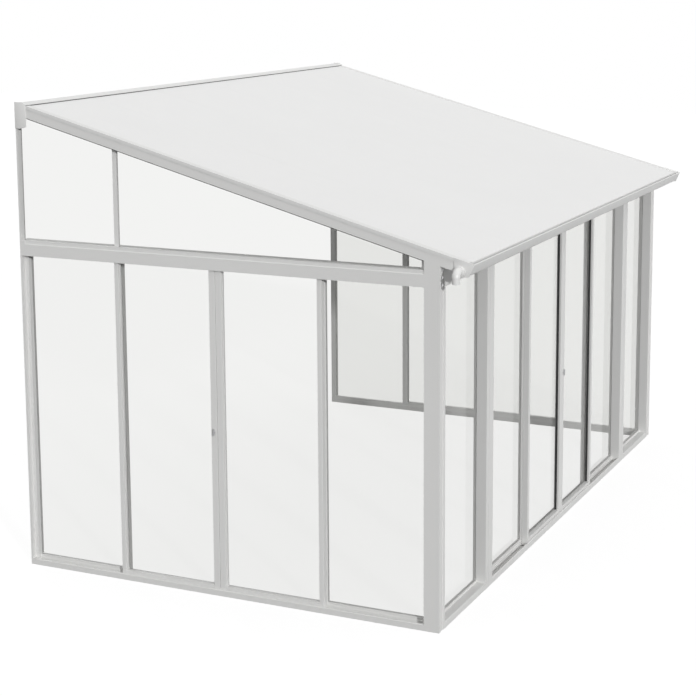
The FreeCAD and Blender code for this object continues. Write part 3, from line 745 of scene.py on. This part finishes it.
# %% Post bolts
screws_low, screws_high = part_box("post_screws")
head_sides = 6
half_side = math.pi / head_sides
head_half_flat = 0.009
head_corner = head_half_flat / math.cos(half_side)
head_height = screws_high.y - screws_low.y
head_chamfer = 0.0008
head_taper = 0.9
head_rim = 0.002
head_dish = 0.0003
flange_sides = 32
flange_radius = 0.0112
flange_thickness = 0.0014
flange_straight = 0.6 * flange_thickness
flange_taper = 0.93
head_foot = flange_thickness / 2

bolt = disc("post_bolt_master", flange_sides, flange_radius, origin, (quarter, 0, 0))
pull((0, -flange_straight, 0))
pull((0, flange_straight - flange_thickness, 0))
widen(flange_taper, origin, flat_ring)
close_mesh(bolt, round_smoothing)
head = disc("post_bolt_head", head_sides, head_corner, (0, -head_foot, 0), (quarter, 0, 0))
bpy.ops.transform.rotate(value=half_side, orient_axis="Y", center_override=origin)
pull((0, head_foot + head_chamfer - head_height, 0))
pull((0, -head_chamfer, 0))
widen(head_taper, origin, flat_ring)
bpy.ops.mesh.inset(thickness=head_rim)
bpy.ops.transform.translate(value=(0, head_dish, 0))
close_mesh(head, crisp_smoothing)
only(bolt, head)
bpy.ops.object.join()
print(bolt.name, len(bolt.data.polygons), "faces")

# %% Post bolts: six copies in the grooves
columns = (screws_low.x + head_corner, screws_high.x - head_corner)
top_bolt = screws_high.z - head_half_flat
low_bolt = screws_low.z + head_half_flat
rows = (top_bolt, (top_bolt + low_bolt) / 2, low_bolt)
bolts = []
for x in columns:
    for z in rows:
        copy = twin(bolt)
        copy.location = (x, screws_high.y, z)
        bolts.append(copy)
only(*bolts)
bpy.ops.object.join()
settle()
bolts[0].name = "post_bolts"
hand_over(bolts[0], "frame", "steel", "post_screws")
bpy.data.objects.remove(bolt)

# %% [markdown]
# The gutter is rolled from sheet, so its front has no sharp corner: the foot is a wide bend and the lip
# a tight one. The construction has the section with plain corners. A copy of it gets both bends by
# bevelling the long edges. The inside of a bend is tighter than the outside by the thickness of the
# sheet, so the inner edges get a smaller bevel and the wall keeps its gauge.

# %% Rolled gutter: bends
gutter_low, gutter_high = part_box("gutter")
front_half = (gutter_low.y + gutter_high.y) / 2
sheet = 0.0025
foot_bend = 0.022
lip_bend = 0.008
# How much of the sheet's thickness an inner bevel loses: the tangent of half the bend's turn
foot_loss = 0.66
lip_loss = 1.5
lip_from, lip_to = 0.001, 0.008
lip_height = 0.06
near = 0.0002


def foot_at(height):
    return lambda spot: abs(spot.z - height) < near and spot.y < front_half


def outer_lip(spot):
    return abs(spot.y - gutter_low.y) < near


def inner_lip(spot):
    # The outer lip is already bent when this is asked, so the edges of its bend are chosen as well
    return lip_from < spot.y - gutter_low.y < lip_to and spot.z > gutter_low.z + lip_height


bends = (
    ("outer foot", foot_bend, foot_at(gutter_low.z)),
    ("inner foot", foot_bend - sheet * foot_loss, foot_at(gutter_low.z + sheet)),
    ("outer lip", lip_bend, outer_lip),
    ("inner lip", lip_bend - sheet * lip_loss, inner_lip),
)
print("bends", [(label, round(size * 1000, 2)) for label, size, at in bends])

# %% Rolled gutter: shape
bend_segments = 8
long_run = 1.0


def long_edge(edge):
    first, second = (vert.co for vert in edge.verts)
    return abs(first.x - second.x) > long_run


rolled = copy_of("gutter", "gutter_rolled")
for label, size, at in bends:
    count = choose(rolled, "EDGE", lambda edge: long_edge(edge) and at(middle(edge)))
    bpy.ops.mesh.bevel(offset=size, segments=bend_segments, affect="EDGES")
    print(label, "edges", count)
close_mesh(rolled, round_smoothing)
hand_over(rolled, "frame", "frame_white", "gutter")

# %% [markdown]
# Two thin dark lines run along the lower edge of the ridge cover and along the lower edge of the raking
# rafters above the gable.
# They are painted shade: black bulb seals, each a small round bulb with a fin that goes into the joint,
# stand in for the shadow lines of these joints. The lines of the roof and of the rafters are read from the
# construction.

# %% Painted shade lines: the lines that they follow
def edge_line(node, pick):
    # The straight line that a node's upper or lower edge follows to the back, as a height for each y
    points = [vert.co for vert in nodes[node].data.vertices]
    front = min(point.y for point in points)
    back = max(point.y for point in points)
    front_z = pick(point.z for point in points if abs(point.y - front) < near)
    back_z = pick(point.z for point in points if abs(point.y - back) < near)
    slope = (back_z - front_z) / (back - front)
    return lambda y: front_z + slope * (y - front)


roof_line = edge_line("roof_sheets", max)
rake_line = edge_line("rake_rafter_left", min)
cover_low, cover_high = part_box("ridge_plate")
rake_outer_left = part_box("rake_rafter_left")[0].x
rake_outer_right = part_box("rake_rafter_right")[1].x
rake_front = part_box("corner_post_left")[1].y
rake_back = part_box("ridge_end_caps")[0].y
print("roof at the cover", round(roof_line(cover_low.y), 3),
      "rake from", round(rake_front, 3), "to", round(rake_back, 3))

# %% Painted shade lines: black bulbs pulled along the joints
ridge_bulb = 0.0019
rake_bulb = 0.0027
bulb_sides = 12
bulb_smoothing = math.radians(50)
fin = 0.0015
fin_facing = 0.9
rake_edge = 0.003


# A black bulb with a fin along a joint, which paints the joint's shadow line as a dark strip
def shade_line_bulb(name, bulb, start, end, fin_way):
    along = Vector(end) - Vector(start)
    turned = (0, quarter, 0) if abs(along.x) > abs(along.y) else (quarter, 0, 0)
    seal = disc(name, bulb_sides, bulb, start, turned)
    pull(along)
    fin_way = Vector(fin_way)
    choose(seal, "FACE", lambda face: len(face.verts) == 4 and face.normal.dot(fin_way) > fin_facing)
    pull(fin_way * fin)
    close_mesh(seal, bulb_smoothing)
    hand_over(seal, "frame", "seal_black")


cover_y = cover_low.y - ridge_bulb
cover_z = roof_line(cover_y) + ridge_bulb
shade_line_bulb("ridge_shade_line", ridge_bulb,
          (cover_low.x, cover_y, cover_z), (cover_high.x, cover_y, cover_z), (0, 1, 0))
rake_low, rake_high = rake_line(rake_front) - rake_bulb, rake_line(rake_back) - rake_bulb
rake_inset = rake_edge + rake_bulb
for side, x in (("left", rake_outer_left + rake_inset), ("right", rake_outer_right - rake_inset)):
    shade_line_bulb("rake_shade_line_" + side, rake_bulb,
              (x, rake_front, rake_low), (x, rake_back, rake_high), (0, 0, 1))

# %% [markdown]
# In the end bays of the front no door runs, so the open track of the sill is closed there by a clip-in
# cover. A plate is laid from the nose of the sill to its rib, its front edge and front corners are
# rounded, and a shallow plug is pulled down from its underside into the track.

# %% Sill covers
cover_thickness = 0.002
cover_rounding = 0.0015
cover_depth = 0.0515
plug_margin = 0.0115
plug_depth = 0.004
sill_low, sill_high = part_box("sill_front")
bays = (
    ("left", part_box("corner_post_left")[1].x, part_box("front_post_left")[0].x),
    ("right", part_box("front_post_right")[1].x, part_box("corner_post_right")[0].x),
)


def front_edge(edge):
    spot = middle(edge)
    return spot.z > sill_high.z + near and spot.y < sill_low.y + near


def underside(face):
    return abs(middle(face).z - sill_high.z) < near


for side, x0, x1 in bays:
    center_x = (x0 + x1) / 2
    cover = start_mesh("sill_cover_" + side, bpy.ops.mesh.primitive_plane_add, size=cover_depth,
                       location=(center_x, sill_low.y + cover_depth / 2, sill_high.z))
    bpy.ops.transform.resize(value=((x1 - x0) / cover_depth, 1, 1),
                             center_override=(center_x, sill_low.y, sill_high.z))
    bpy.ops.mesh.normals_make_consistent(inside=False)
    pull((0, 0, cover_thickness))
    choose(cover, "EDGE", front_edge)
    bpy.ops.mesh.bevel(offset=cover_rounding, segments=soft_segments, affect="EDGES")
    choose(cover, "FACE", underside)
    bpy.ops.mesh.inset(thickness=plug_margin)
    pull((0, 0, -plug_depth))
    close_mesh(cover, round_smoothing)
    hand_over(cover, "frame", "frame_white")

# %% [markdown]
# The doors' bottom rails are slimmer to the eye than in the construction. In a copy of each door's frame,
# pane and seals, everything at the height of the rail's upper edge moves down together: the groove,
# the chamfers and the glass that stands in it.

# %% Slim bottom rails
rail_change = 0.024
band_below, band_above = 0.020, 0.001
doors = ("left_rear", "left_front", "front_left", "front_right", "right_front", "right_rear")
for door in doors:
    reveal_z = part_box("door_%s_seal" % door)[0].z
    band_low, band_high = reveal_z - band_below, reveal_z + band_above
    for part in ("frame", "pane", "seal"):
        node = "door_%s_%s" % (door, part)
        slim = copy_of(node, node + "_slim")
        choose(slim, "VERT", lambda vert: band_low < vert.co.z < band_high)
        bpy.ops.transform.translate(value=(0, 0, -rail_change))
        close_mesh(slim, crisp_smoothing)
        hand_over(slim, "door_" + door, slot_of[node], node)

# %% [markdown]
# The caps on the ridge and on the gutter's ends are injection moulded, so no edge on them is sharp.
# Their outlines are already right in the construction, so each is copied, its loose triangles are merged,
# and a bevel that looks only at real corners rounds the edges.

# %% Moulded caps
ridge_cap_rounding = 0.0025
gutter_cap_rounding = 0.0015
real_corner = math.radians(30)
cap_smoothing = math.radians(35)


def moulded(node, name, rounding):
    copy = copy_of(node, name)
    bpy.ops.object.mode_set(mode="OBJECT")
    edges = copy.modifiers.new("rounded edges", "BEVEL")
    edges.width = rounding
    edges.segments = soft_segments
    edges.limit_method = "ANGLE"
    edges.angle_limit = real_corner
    bpy.ops.object.modifier_apply(modifier=edges.name)
    bpy.ops.object.mode_set(mode="EDIT")
    close_mesh(copy, cap_smoothing)
    return copy


for node, name, rounding in (
    ("ridge_end_caps", "ridge_caps_moulded", ridge_cap_rounding),
    ("gutter_end_left", "gutter_cap_left", gutter_cap_rounding),
    ("gutter_end_right", "gutter_cap_right", gutter_cap_rounding),
):
    hand_over(moulded(node, name, rounding), "frame", "cap_white", node)

# %% [markdown]
# The last cell prints the size of the box around the dressed object, with the floor left out.

low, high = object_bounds()
print("visual box", [round(value, 3) for value in high - low])
